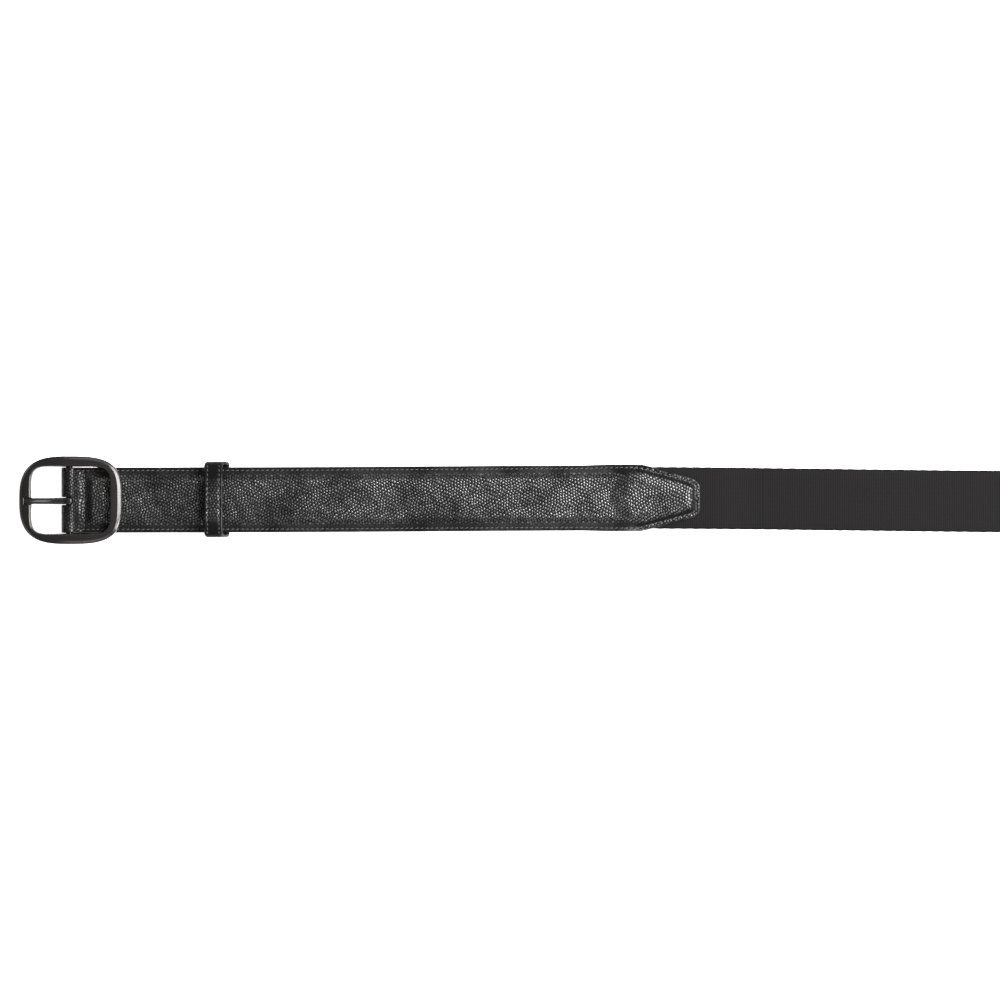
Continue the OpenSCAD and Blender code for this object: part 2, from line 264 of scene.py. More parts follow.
# ---- pebbled leather ----
def pebbles(s0, s1, v0, v1, pitch, plain):
    """Points of a slightly irregular honeycomb of pebbles: a crest and a ring on each one, and
    the valleys round it. Where plain(s, v) holds, a pebble has only its crest.
    Returns (points, share of the pebble height)."""
    columns = int((s1 - s0) / (pitch * math.sqrt(0.75))) + 4
    rows = int((v1 - v0) / pitch) + 4
    i, j = np.meshgrid(np.arange(columns), np.arange(rows), indexing="ij")
    s = s0 + (i - 1.5) * pitch * math.sqrt(0.75)
    v = v0 + (j - 1.5 + 0.5 * (i % 2)) * pitch
    # slow waves bend the columns, and each pebble sits a little off its place
    ds = 0.34 * np.sin(0.31 * v + 0.07 * s) + 0.2 * np.sin(0.83 * v - 0.19 * s + 1.7)
    dv = 0.34 * np.sin(0.23 * s + 0.11 * v) + 0.2 * np.sin(0.71 * s + 0.4 * v + 0.6)
    s = s + ds * pitch + RNG.normal(0, 0.05 * pitch, s.shape)
    v = v + dv * pitch + RNG.normal(0, 0.05 * pitch, s.shape)
    c = np.stack([s, v], -1)
    odd = i % 2
    a, b = (k.ravel() for k in np.mgrid[1:columns - 1, 1:rows - 2])
    right = np.full(c.shape, np.nan)
    left = np.full(c.shape, np.nan)
    right[a, b] = (c[a, b] + c[a, b + 1] + c[a + 1, b + odd[a, b]]) / 3
    left[a, b] = (c[a, b] + c[a, b + 1] + c[a - 1, b + odd[a, b]]) / 3
    a, b = (k.ravel() for k in np.mgrid[2:columns - 2, 2:rows - 3])
    # the corners round a pebble, in order
    corners = np.stack([
        right[a, b], left[a, b], right[a - 1, b - odd[a - 1, b]], left[a, b - 1],
        right[a, b - 1], left[a + 1, b - odd[a + 1, b]]
    ], 1)
    middle = c[a, b]
    whole = ~np.isnan(corners).any((1, 2))
    corners, middle = corners[whole], middle[whole]
    size = RNG.uniform(0.74, 1.0, len(middle))
    simple = plain(middle[:, 0], middle[:, 1])
    full = corners[~simple]
    centre, tall = middle[~simple, None], size[~simple]
    creases = (full + np.roll(full, -1, 1)) / 2
    bounds = np.concatenate([full, creases], 1)
    rings = [(centre, 1, 1.0), (centre + 0.6 * (bounds - centre), 12, 0.74)]
    low = np.vstack([corners.reshape(-1, 2), creases.reshape(-1, 2)])
    low = np.unique(np.round(low, 6), axis=0)
    points = [middle[simple]] + [r.reshape(-1, 2) for r, _, _ in rings] + [low]
    heights = [size[simple]] + [np.repeat(tall, n) * h for _, n, h in rings]
    return np.vstack(points), np.concatenate(heights + [np.zeros(len(low))])


def grid_points(s0, s1, v0, v1, ds, dv):
    """Points of a plain grid inside a rectangle."""
    s, v = np.meshgrid(np.arange(s0 + ds / 2, s1, ds), np.arange(v0 + dv / 2, v1, dv))
    return np.stack([s.ravel(), v.ravel()], 1)


def sheet_mesh(name, outline, holes, place, lift, thick, material, top=None, groove=None,
               edge_r=0.55, **keys):
    """A closed leather sheet over an outline with holes. place(s, v, h) gives the points in
    space, lift(s, v, e) how far the sheet is raised by what is under it (e is the distance from
    the edge), and top holds the pebbles' points and heights. groove(s, v, e) gives how far the
    top is pressed in, the share of the grain that is left there, and a factor on its shine that
    darkens its colour too, which is painted shade."""
    step = 0.62 if top is not None else 1.5
    outside = resample(outline, step)
    inner = [resample(h, 0.6)[::-1] for h in holes]
    edge_loop = np.vstack([resample(outline, 0.25)] + [resample(h, 0.25) for h in holes])
    loops = [outside] + inner
    (s_low, v_low), (s_high, v_high) = outside.min(0), outside.max(0)
    coarse = grid_points(s_low, s_high, v_low, v_high, 3.0, 1.6)
    top_points, top_heights = top if top is not None else (coarse, np.zeros(len(coarse)))
    # the closed edge: rings from the top, over the rounded edge and down to the bottom
    steps = [(edge_r, 0.0), (edge_r * 0.3, -edge_r * 0.3), (0.0, -edge_r)]
    steps += [(0.0, -thick + 0.25), (0.25, -thick)]
    verts, faces, relief = [], [], []
    starts = []
    for by, down in steps:
        ring_starts = []
        for loop in loops:
            moved = inset(loop, by)
            h = lift(moved[:, 0], moved[:, 1], np.full(len(moved), by)) + down
            ring_starts.append(sum(map(len, verts)))
            verts.append(place(moved[:, 0], moved[:, 1], h))
            relief.append(np.full(len(moved), EDGE_SHADE))
        starts.append(ring_starts)
    for upper, lower in zip(starts, starts[1:]):
        for n, (u, w) in enumerate(zip(upper, lower)):
            count = len(loops[n])
            for i in range(count):
                k = (i + 1) % count
                faces.append((u + i, w + i, w + k, u + k))
    for level, points, heights, turn in (
        (0, top_points, top_heights, False), (len(steps) - 1, coarse, None, True)
    ):
        by, down = steps[level]
        rims = [inset(loop, by) for loop in loops]
        plane, triangles, first, kept = triangulate(rims, points, 0.3 if not turn else 0.8)
        s, v = plane[first:, 0], plane[first:, 1]
        e = distance_to(edge_loop, plane[first:])
        h = lift(s, v, e) + down
        shade = np.full(len(s), SMOOTH_SHADE)
        if not turn:
            calm = smooth((e - 0.5) / 1.2)
            shade = heights[kept]
            raised, quiet = shade * PEBBLE_H, 0.0
            if groove is not None:
                depth, quiet, shine = groove(s, v, e)
                raised = raised * quiet
                shade = SMOOTH_SHADE + (shade - SMOOTH_SHADE) * smooth(quiet * 1.5)
                # shine darkens the colour as well as the gloss: painted shade where the groove function
                # lowers it
                shade = shade * shine
                h = h - depth
            h = h + (raised - 0.3 * PEBBLE_H * quiet) * (0.35 + 0.65 * calm)
        index = np.empty(len(plane), int)
        at = 0
        for n, loop in enumerate(loops):
            index[at:at + len(loop)] = starts[level][n] + np.arange(len(loop))
            at += len(loop)
        base = sum(map(len, verts))
        index[first:] = base + np.arange(len(s))
        verts.append(place(s, v, h))
        relief.append(shade)
        corners = index[triangles]
        a, b, c = (plane[triangles[:, i]] for i in range(3))
        flip = (np.cross(b - a, c - a) < 0) ^ turn
        corners[flip] = corners[flip][:, ::-1]
        faces += corners.tolist()
    return make(name, np.vstack(verts), faces, material, relief=np.concatenate(relief), **keys)


# ---- materials ----
def shader(name, **values):
    """A new material, its nodes and links, and its surface with some inputs set."""
    material = bpy.data.materials.new(name)
    material.use_nodes = True
    nodes, links = material.node_tree.nodes, material.node_tree.links
    surface = nodes["Principled BSDF"]
    for key, value in values.items():
        surface.inputs[key.replace("_", " ")].default_value = value
    return material, nodes, links, surface


def coordinates(nodes):
    return nodes.new("ShaderNodeTexCoord").outputs["Object"]


def noise(nodes, links, vector, scale, detail=3.0, rough=0.55):
    n = nodes.new("ShaderNodeTexNoise")
    n.inputs["Scale"].default_value = scale
    n.inputs["Detail"].default_value = detail
    n.inputs["Roughness"].default_value = rough
    links.new(vector, n.inputs["Vector"])
    return n.outputs["Fac"]


def spread(nodes, links, value, low, high, from_low=0.0, from_high=1.0):
    """A value's range from_low to from_high, mapped to low to high."""
    m = nodes.new("ShaderNodeMapRange")
    m.inputs["From Min"].default_value = from_low
    m.inputs["From Max"].default_value = from_high
    m.inputs["To Min"].default_value = low
    m.inputs["To Max"].default_value = high
    links.new(value, m.inputs["Value"])
    return m.outputs["Result"]


def blend_colours(nodes, links, factor, a, b):
    mix = nodes.new("ShaderNodeMix")
    mix.data_type = "RGBA"
    mix.inputs["A"].default_value = (*a, 1)
    mix.inputs["B"].default_value = (*b, 1)
    links.new(factor, mix.inputs["Factor"])
    return mix.outputs["Result"]


def combine(nodes, links, operation, a, b):
    m = nodes.new("ShaderNodeMath")
    m.operation = operation
    for i, x in enumerate((a, b)):
        if isinstance(x, (int, float)):
            m.inputs[i].default_value = x
        else:
            links.new(x, m.inputs[i])
    return m.outputs["Value"]


def bump(nodes, links, surface, height, distance, strength=1.0):
    b = nodes.new("ShaderNodeBump")
    b.inputs["Strength"].default_value = strength
    b.inputs["Distance"].default_value = distance
    links.new(height, b.inputs["Height"])
    links.new(b.outputs["Normal"], surface.inputs["Normal"])


def leather(name, valley, crest, rough_low, rough_high, gloss=1.0, grain=900.0):
    """Black leather: darker in the valleys of its grain, which is painted shade, and duller there, with
    fine creases.
    """
    material, nodes, links, surface = shader(name)
    at = coordinates(nodes)
    relief = nodes.new("ShaderNodeAttribute")
    relief.attribute_name = "relief"
    wear = noise(nodes, links, at, 60.0, 4.0)
    pores = noise(nodes, links, at, grain, 5.0, 0.65)
    level = combine(nodes, links, "MULTIPLY", relief.outputs["Fac"],
                    spread(nodes, links, wear, 0.6, 1.25, 0.3, 0.7))
    # colour from the valley to the crest colour by the relief level: painted shade in the grain's
    # valleys, and wherever a groove's shine factor lowers the level
    links.new(blend_colours(nodes, links, level, valley, crest), surface.inputs["Base Color"])
    shine = spread(nodes, links, level, rough_high, rough_low, 0.1, 0.9)
    dull = combine(nodes, links, "ADD", shine, spread(nodes, links, pores, -0.08, 0.08))
    links.new(dull, surface.inputs["Roughness"])
    links.new(spread(nodes, links, level, 0.03, gloss, 0.25, 0.8),
              surface.inputs["Specular IOR Level"])
    bump(nodes, links, surface, pores, 0.00004, 0.6)
    return material


def metal(name):
    """Matte black coated metal: a fine orange peel, a faintly cloudy tone, and a painted highlight,
    lighter in colour, where the relief attribute marks it.
    """
    material, nodes, links, surface = shader(name, Metallic=0.5, Specular_IOR_Level=0.35)
    at = coordinates(nodes)
    peel = noise(nodes, links, at, 2600.0, 2.0)
    cloud = noise(nodes, links, at, 90.0, 3.0)
    coat = blend_colours(nodes, links, cloud, (0.018, 0.0168, 0.0164), (0.024, 0.0226, 0.0222))
    painted_highlight_mix = nodes.new("ShaderNodeMix")
    painted_highlight_mix.data_type = "RGBA"
    painted_highlight_mark = nodes.new("ShaderNodeAttribute")
    painted_highlight_mark.attribute_name = "relief"
    links.new(painted_highlight_mark.outputs["Fac"], painted_highlight_mix.inputs["Factor"])
    links.new(coat, painted_highlight_mix.inputs["A"])
    # the painted highlight's colour, a light grey mixed in where relief marks it on the prong's top
    painted_highlight_mix.inputs["B"].default_value = (0.3, 0.295, 0.29, 1)
    links.new(painted_highlight_mix.outputs["Result"], surface.inputs["Base Color"])
    links.new(spread(nodes, links, cloud, 0.18, 0.25, 0.3, 0.7), surface.inputs["Roughness"])
    bump(nodes, links, surface, peel, 0.00002, 0.35)
    return material


def webbing(name):
    """Black ribbed elastic: yarns cross the band in ribs, over a fine knit."""
    material, nodes, links, surface = shader(name, Specular_IOR_Level=0.1)
    at = coordinates(nodes)
    yarn = nodes.new("ShaderNodeTexWave")
    yarn.wave_type = "BANDS"
    yarn.bands_direction = "Y"
    yarn.inputs["Scale"].default_value = 420.0
    yarn.inputs["Distortion"].default_value = 1.2
    yarn.inputs["Detail"].default_value = 2.0
    links.new(at, yarn.inputs["Vector"])
    fuzz = noise(nodes, links, at, 2200.0, 4.0)
    wave = yarn.outputs["Fac"]
    relief = nodes.new("ShaderNodeAttribute")
    relief.attribute_name = "relief"
    # relief darkens the colour in the ribs' hollows and along the band's edges: painted shade
    level = combine(nodes, links, "MULTIPLY", relief.outputs["Fac"],
                    spread(nodes, links, wave, 0.75, 1.1))
    dark, light = (0.0017, 0.0015, 0.0016), (0.0085, 0.0078, 0.008)
    links.new(blend_colours(nodes, links, level, dark, light), surface.inputs["Base Color"])
    links.new(spread(nodes, links, fuzz, 0.85, 1.0), surface.inputs["Roughness"])
    bump(nodes, links, surface, combine(nodes, links, "ADD", wave, fuzz), 0.00008, 0.5)
    return material


def thread_material(name):
    """Waxed black thread with its twist."""
    material, nodes, links, surface = shader(name)
    at = coordinates(nodes)
    twist = nodes.new("ShaderNodeTexWave")
    twist.bands_direction = "DIAGONAL"
    twist.inputs["Scale"].default_value = 900.0
    twist.inputs["Distortion"].default_value = 1.0
    links.new(at, twist.inputs["Vector"])
    wave = twist.outputs["Fac"]
    links.new(blend_colours(nodes, links, wave, (0.012, 0.0115, 0.0115), (0.046, 0.044, 0.044)),
              surface.inputs["Base Color"])
    links.new(spread(nodes, links, wave, 0.5, 0.38), surface.inputs["Roughness"])
    bump(nodes, links, surface, wave, 0.0001, 0.6)
    return material


def foam(name):
    """Dark grey foam, with fine cells."""
    material, nodes, links, surface = shader(name, Roughness=0.95)
    at = coordinates(nodes)
    cells = noise(nodes, links, at, 1400.0, 3.0)
    links.new(blend_colours(nodes, links, cells, (0.03, 0.03, 0.03), (0.07, 0.07, 0.07)),
              surface.inputs["Base Color"])
    bump(nodes, links, surface, cells, 0.0002, 0.5)
    return material


# the valleys' colour for the pebbled and keeper leather, blacker than the crests: painted shade
PAINTED_VALLEY_BLACK = (0.002, 0.0019, 0.0019)
PEBBLED = leather("pebbled_leather", PAINTED_VALLEY_BLACK, (0.012, 0.0113, 0.0116), 0.27, 0.4)
KEEPER_LEATHER = leather("keeper_leather", PAINTED_VALLEY_BLACK, (0.012, 0.0113, 0.0115), 0.3, 0.42)
LINING = leather("lining_leather", (0.009, 0.0085, 0.0082), (0.024, 0.0226, 0.0216), 0.55, 0.7,
                 gloss=0.3, grain=1500.0)
METAL = metal("black_metal")
WEBBING = webbing("ribbed_webbing")
THREAD = thread_material("waxed_thread")
FOAM = foam("foam_padding")


# ---- front and tail leather ----
def strap_path(r, flat_z):
    """The strap end's side view: turned back under, round the bar at radius r, down to the
    valley and along at flat_z. Returns place(s, v, h), and the functions that give s at a
    place x below the bar and above it. On the flat strap, s is x."""
    p = np.array([VALLEY_X - 2.0, flat_z - BAR_Z])
    touch = math.atan2(p[1], p[0]) + math.acos(r / np.linalg.norm(p))
    lower = [(x, -r) for x in np.arange(TURN_BACK_X, 0, -0.5)]
    turn = [(r * math.cos(a), r * math.sin(a)) for a in np.linspace(1.5 * math.pi, touch, 60)]
    end = np.array(turn[-1])
    lead = (p - end) / np.linalg.norm(p - end)
    ease = 1.6
    start, finish = p - lead * ease, p + [ease, 0]
    curve = [
        (1 - t) ** 2 * start + 2 * t * (1 - t) * p + t * t * finish for t in np.linspace(0, 1, 16)
    ]
    line = lower + turn + [tuple(q) for q in curve] + [(TIP_X + 30, p[1])]
    line = np.array(line) + [0, BAR_Z]
    run = np.concatenate([[0], np.cumsum(np.linalg.norm(np.diff(line, axis=0), axis=1))])
    run += line[-1, 0] - run[-1]
    direction = np.gradient(line, run, axis=0)
    direction /= np.linalg.norm(direction, axis=1)[:, None]
    foremost = np.argmin(line[:, 0])

    def place(s, v, h):
        x, z = (np.interp(s, run, line[:, i]) for i in (0, 1))
        dx, dz = (np.interp(s, run, direction[:, i]) for i in (0, 1))
        # the turned-back leg strays a little sideways between the bar and its end
        stray = 0.62 * smooth((run[foremost] - s) / 12) * smooth((s - run[0] - 4) / 14)
        return np.stack([x - dz * h, v - stray, z + dx * h], 1)

    def below(x):
        return np.interp(-x, -line[:foremost, 0], run[:foremost])

    def above(x):
        return np.interp(x, line[foremost:, 0], run[foremost:])

    return place, below, above


def tab_corners(tip, half, side, widen=0.45):
    """Corners and radii of a tab's outline from its full width to its tip and back."""
    far = tip - TAB_L
    edge = [
        (far - 34, half), (far - 20, half + widen), (far, half + widen), (tip - 3.8, 11.3),
        (tip, TAB_END_W / 2)
    ]
    radii = [40, 40, 16, 6, 4.6]
    lower = [(x, -y) for x, y in edge]
    points, turns = lower + edge[::-1], radii + radii[::-1]
    return ([(side * x, side * y) for x, y in points], turns)


def tab_lift(s, v, e, tuck, h):
    """The elastic's end under the leather, and the padded dome over it, towards +s."""
    step = ELASTIC_T * smooth((s - tuck + 8) / 10) * smooth((STRAP_W / 2 + 0.6 - abs(v)) / 2.4)
    bend = s - tuck - 0.034 * v**2
    dome = smooth((bend + 10.5) / 12.5) * smooth((e - 2.4) / 7.4)
    hollow = hump(bend + 9.4, 2) * smooth((17 - abs(v)) / 5)
    return step + h * dome - 0.06 * hollow


def pad_lift(s, v, start, end, h):
    """The padded crown: it rises over the stitched margins, and dies away at its ends."""
    crown = h * smooth((CROWN_FOOT - abs(v)) / (CROWN_FOOT - CROWN_HALF))
    crown += 0.25 * np.clip(1 - (v / CROWN_HALF) ** 2, 0, 1)
    return crown * smooth((s - start) / 4.5) * smooth((end - s) / 10)


def flat_lift(s, v, e):
    """Nothing raises the sheet."""
    return np.zeros(np.shape(s))


def front_lift(s, v, e):
    """How far the front's face leather is raised by its padding and by the elastic."""
    return pad_lift(s, v, 9.4, TUCK_X + 1.5, FRONT_PAD_H) + tab_lift(s, v, e, TUCK_X, DOME_H)


def row_inset(s, tab_from):
    """How far a stitched row runs from the edge: a little more on a tab, past tab_from."""
    return ROW_IN + ROW_IN_TAB * smooth((s - tab_from) / 10)


def tab_foot(tab, e):
    """Where a tab's leather is drawn tight, between its dome and its stitched row; its grain is
    flattened there, and painted shade darkens it.
    """
    return tab * smooth((e - 2.0) / 1.4) * smooth((6.6 - e) / 3.0)


def front_groove(s, v, e):
    """The front's stitched grooves, the share of grain left, and the shine factor that also paints
    shade (see sheet_mesh).
    """
    line = GROOVE_DEEP * hump(e - row_inset(s, TUCK_X + 4), GROOVE_HALF) * smooth((s - 1) / 3)
    across = 0.2 * hump(s - VALLEY_X, 0.55) * smooth((e - 1.6) / 0.5)
    margin = smooth((CROWN_FOOT + 0.2 - abs(v)) / 2.4)
    tab, turn = smooth((s - TUCK_X) / 8), smooth((VALLEY_X - 0.5 - s) / 2)
    # round the dome and over the bar the leather is drawn tight, and its grain with it
    foot = tab_foot(tab, e)
    hollow = hump(s - TUCK_X - 0.034 * v**2 + 7, 3.5)
    drawn = (1 - 0.75 * foot) * (1 - 0.58 * turn) * (1 - 0.3 * hollow) * (1 - 0.14 * tab)
    quiet = (0.22 + 0.78 * np.maximum(np.maximum(margin, tab), turn)) * drawn
    # painted shade: the shine factor darkens the colour and gloss on the tab's foot, on the fold over
    # the bar down to the valley, and on the tab's end, where they face the right-hand strip light
    shine = (1 - 0.52 * foot) * (1 - 0.42 * hump(s - VALLEY_X + 4.5, 4.5))
    shine *= 1 - 0.32 * smooth((s - TIP_X + 13) / 5) * smooth((e - 3) / 1.5)
    return line + across, quiet, shine


def front_outline(s_min, trim=0.0):
    """The front's flat outline, from its turned-back end to its tab."""
    corners, radii = tab_corners(TIP_X, STRAP_W / 2, 1)
    half = STRAP_W / 2
    corners = [(s_min, -half)] + corners + [(s_min, half)]
    loop = rounded_loop(corners, [2] + radii + [2], 0.5)
    return inset(loop, trim) if trim else loop


def slot_loop(s0, s1, width):
    """The slot that the prong comes out of, with round ends."""
    r = width / 2 - 0.05
    y0, y1 = PRONG_Y - width / 2, PRONG_Y + width / 2
    return rounded_loop([(s0, y0), (s1, y0), (s1, y1), (s0, y1)], [r] * 4, 0.3)


def front_leather():
    """The front's face leather. Returns its place(s, v, h)."""
    place, below, above = strap_path(FOLD_R, MARGIN_Z)
    s_min = below(TURN_BACK_X)

    def plain(s, v):
        return (abs(v) > 15.2) & (s < TUCK_X - 4) & (s > VALLEY_X)

    points, heights = pebbles(-4, TIP_X + 2, -20, 20, PEBBLE, plain)
    under = grid_points(s_min, -6, -20, 20, 2.0, 1.6)
    grain = (np.vstack([points, under]), np.concatenate([heights, np.full(len(under), 0.4)]))
    piece = sheet_mesh(
        "front_face", front_outline(s_min), [slot_loop(below(4.2), above(2.3), 4.6)],
        place, front_lift, FACE_T, PEBBLED, top=grain, groove=front_groove,
        body="front", cad=["front_face_leather"], slot="pebbled_leather")
    return place


def front_lining():
    place, below, above = strap_path(FOLD_R - FACE_T, MARGIN_Z - FACE_T)
    start = below(TURN_BACK_X)
    slot = slot_loop(below(4.2), above(4.2), 5.0)
    piece = sheet_mesh(
        "front_lining_sheet", front_outline(start, 0.25), [slot], place,
        flat_lift, LINING_T - 0.02, LINING, edge_r=0.3,
        body="front", cad=["front_lining"], slot="lining_leather")


def tail_place(s, v, h):
    return np.stack([s, v, LINING_T + FACE_T + h], 1)


def lining_place(s, v, h):
    return np.stack([s, v, LINING_T + h], 1)


def tail_lift(s, v, e):
    tab = tab_lift(-s, v, e, -TAIL_TUCK_X, DOME_H * 0.8)
    return pad_lift(s, v, TAIL_TUCK_X + 2, TAIL_END_X - 12, TAIL_PAD_H) + tab


def tail_groove(s, v, e):
    """The same for the tail, without the fold."""
    tab = smooth((TAIL_TUCK_X - s) / 8)
    # e is the distance from a hole's edge too, and no row runs round the holes
    off_hole = smooth((hole_distance(s, v) - HOLE_R - 4) / 1.5)
    line = GROOVE_DEEP * hump(e - ROW_IN - ROW_IN_TAB * tab, GROOVE_HALF) * off_hole
    margin = smooth((CROWN_FOOT + 0.2 - abs(v)) / 2.4)
    foot = tab_foot(tab, e)
    quiet = (0.12 + 0.88 * np.maximum(margin, tab)) * (1 - 0.75 * foot)
    # the third value paints shade: the tab's foot is darker in colour as well as duller
    return line, quiet, 1 - 0.52 * foot


def hole_distance(s, v):
    """How far a place is from the middle of the nearest punched hole."""
    nearest = (np.round((s - BELT_SIZE) / HOLE_PITCH)).clip(-(HOLE_COUNT // 2), HOLE_COUNT // 2)
    return np.hypot(s - BELT_SIZE - nearest * HOLE_PITCH, v)


def tail_outline(trim=0.0):
    corners, radii = tab_corners(-TAIL_X, STRAP_W / 2, -1)
    half = STRAP_W / 2
    # the tab's corners come out with +Y first, so the round tip follows with -Y first
    corners = corners + [(TAIL_END_X, -half), (TAIL_END_X, half)]
    loop = rounded_loop(corners, radii + [half - 1.5, half - 1.5], 0.5)
    return inset(loop, trim) if trim else loop


def punched_holes(r):
    angles = np.arange(28) / 28 * 2 * math.pi
    ring = np.stack([np.cos(angles), np.sin(angles)], 1) * r
    middle = (HOLE_COUNT - 1) / 2
    return [ring + [BELT_SIZE + (i - middle) * HOLE_PITCH, 0] for i in range(HOLE_COUNT)]


def tail_leather():
    """The tail's face leather and lining."""
    grain = pebbles(TAIL_X - 2, TAIL_END_X + 2, -20, 20, PEBBLE, lambda s, v: np.zeros(len(s), bool))
    piece = sheet_mesh(
        "tail_face", tail_outline(), punched_holes(HOLE_R), tail_place, tail_lift, FACE_T, PEBBLED,
        top=grain, groove=tail_groove, body="tail", cad=["tail_face_leather"],
        slot="pebbled_leather")
    lining = sheet_mesh(
        "tail_lining_sheet", tail_outline(0.25), punched_holes(HOLE_R), lining_place,
        flat_lift, LINING_T, LINING, edge_r=0.3,
        body="tail", cad=["tail_lining"], slot="lining_leather")


# ---- stitching ----
def stitches(name, rows, place, lift, node, body, under=False, pitch=STITCH):
    """Single stitches of waxed thread along open rows of (s, v) points."""
    around, rings = 6, 5
    points, faces = [], []
    angles = np.arange(around) / around * 2 * math.pi
    for line in rows:
        run = np.concatenate([[0], np.cumsum(np.linalg.norm(np.diff(line, axis=0), axis=1))])
        count = int(run[-1] / pitch)
        spare = (run[-1] - count * pitch) / 2
        for k in range(count):
            middle = spare + (k + 0.5) * pitch + RNG.normal(0, 0.05)
            along = np.linspace(-0.5, 0.5, rings)
            t = middle + along * pitch * 0.84
            s, v = (np.interp(t, run, line[:, i]) for i in (0, 1))
            e = np.full(rings, 2.0)
            sink = 0.16 + 0.42 * (2 * along) ** 4
            h = lift(s, v, e) - sink + (0.14 if not under else -0.02)
            heading = np.array([s[-1] - s[0], v[-1] - v[0]])
            heading /= np.linalg.norm(heading)
            lean = RNG.normal(0, 0.04) + 0.1
            across = np.array([-heading[1], heading[0]])
            s, v = s + across[0] * along * lean * 4, v + across[1] * along * lean * 4
            centre = place(s, v, h)
            side = place(s + across[0] * 0.1, v + across[1] * 0.1, h) - centre
            up = place(s, v, h + 0.1) - centre
            side, up = side / np.linalg.norm(side, axis=1)[:, None], up / 0.1
            r = THREAD_R * (1 - 0.35 * (2 * along) ** 4)
            base = len(points) * around * rings
            ring = (centre[:, None] + r[:, None, None] * (
                side[:, None] * np.cos(angles)[None, :, None]
                + up[:, None] * np.sin(angles)[None, :, None]))
            _, new = loft(ring)
            points.append(ring.reshape(-1, 3))
            faces += [tuple(base + i for i in f) for f in new]
    return make(name, np.vstack(points), faces, THREAD, body=body, cad=[node], slot="thread")


def row_line(outline, s_from, s_to, tab_from, sign=1):
    """The part of an outline's inset line between two places along the strap, as open rows.
    The tab runs from tab_from towards +s, or towards -s if sign is -1."""
    loop = resample(outline, 0.4)
    line = inset(loop, row_inset(sign * loop[:, 0], sign * tab_from))
    keep = (line[:, 0] > s_from) & (line[:, 0] < s_to)
    rows, current = [], []
    start = int(np.argmin(keep)) if not keep.all() else 0
    for i in range(len(line)):
        k = (start + i) % len(line)
        if keep[k]:
            current.append(line[k])
        elif current:
            rows.append(np.array(current))
            current = []
    if current:
        rows.append(np.array(current))
    return [r for r in rows if len(r) > 8]


def front_stitching(place):
    """The front's rows on both sides, and the row across the strap behind the bar."""
    outline = front_outline(-40)
    stitches("front_needle_stitches", row_line(outline, 2.0, TIP_X, TUCK_X + 4), place,
             front_lift, "front_needle_thread", "front")
    half = STRAP_W / 2 - 2.6
    fold = [np.array([[VALLEY_X, -half], [VALLEY_X, half]])]
    stitches("fold_stitches", fold, place, front_lift, "fold_thread", "front")

    def under(s, v, h):
        return np.stack([s, v, FACE_T + LINING_T - h], 1)

    stitches("front_bobbin_stitches", row_line(outline, TURN_BACK_X + 2, TIP_X, TUCK_X + 4),
             under, flat_lift, "front_bobbin_thread", "front", under=True)


def tail_stitching():
    """The tail's rows on both sides."""
    outline = tail_outline()
    rows = row_line(outline, TAIL_X, TAIL_END_X, TAIL_TUCK_X - 4, -1)
    stitches("tail_needle_stitches", rows, tail_place, tail_lift, "tail_needle_thread", "tail")

    def under(s, v, h):
        return np.stack([s, v, 0.3 - h], 1)

    stitches("tail_bobbin_stitches", rows, under, flat_lift, "tail_bobbin_thread", "tail",
             under=True)


# ---- keeper ----
KEEPER_LOW, KEEPER_HIGH = node_box("keeper_band")


def keeper_path():
    """The keeper's loop across the strap: from the join under the strap, round and back."""
    half, low, high = KEEPER_HIGH[1], KEEPER_LOW[2], KEEPER_HIGH[2]
    corners = [(-half, low), (half, low), (half, high), (-half, high)]
    loop = rounded_loop(corners, [3, 3, 5.4, 5.4], 0.25)
    start = int(np.argmin(abs(loop[:, 0]) + 99 * (loop[:, 1] > low + 1)))
    loop = np.roll(loop, -start, 0)
    # a relaxed loop: the top dips a little at its middle
    loop[:, 1] -= 0.5 * np.clip(1 - (loop[:, 0] / 16) ** 2, 0, 1) * (loop[:, 1] > high - 2)
    line = np.vstack([loop, loop[:1]])
    run = np.concatenate([[0], np.cumsum(np.linalg.norm(np.diff(line, axis=0), axis=1))])
    direction = np.gradient(line, run, axis=0)
    direction /= np.linalg.norm(direction, axis=1)[:, None]

    def place(s, v, h):
        y, z = (np.interp(s, run, line[:, i]) for i in (0, 1))
        dy, dz = (np.interp(s, run, direction[:, i]) for i in (0, 1))
        skew = KEEPER_SKEW * smooth((high - 1.0 - z) / (high - low - 2))
        return np.stack([v + skew, y + dz * h + KEEPER_STRAY, z - dy * h], 1)

    return place, run[-1]


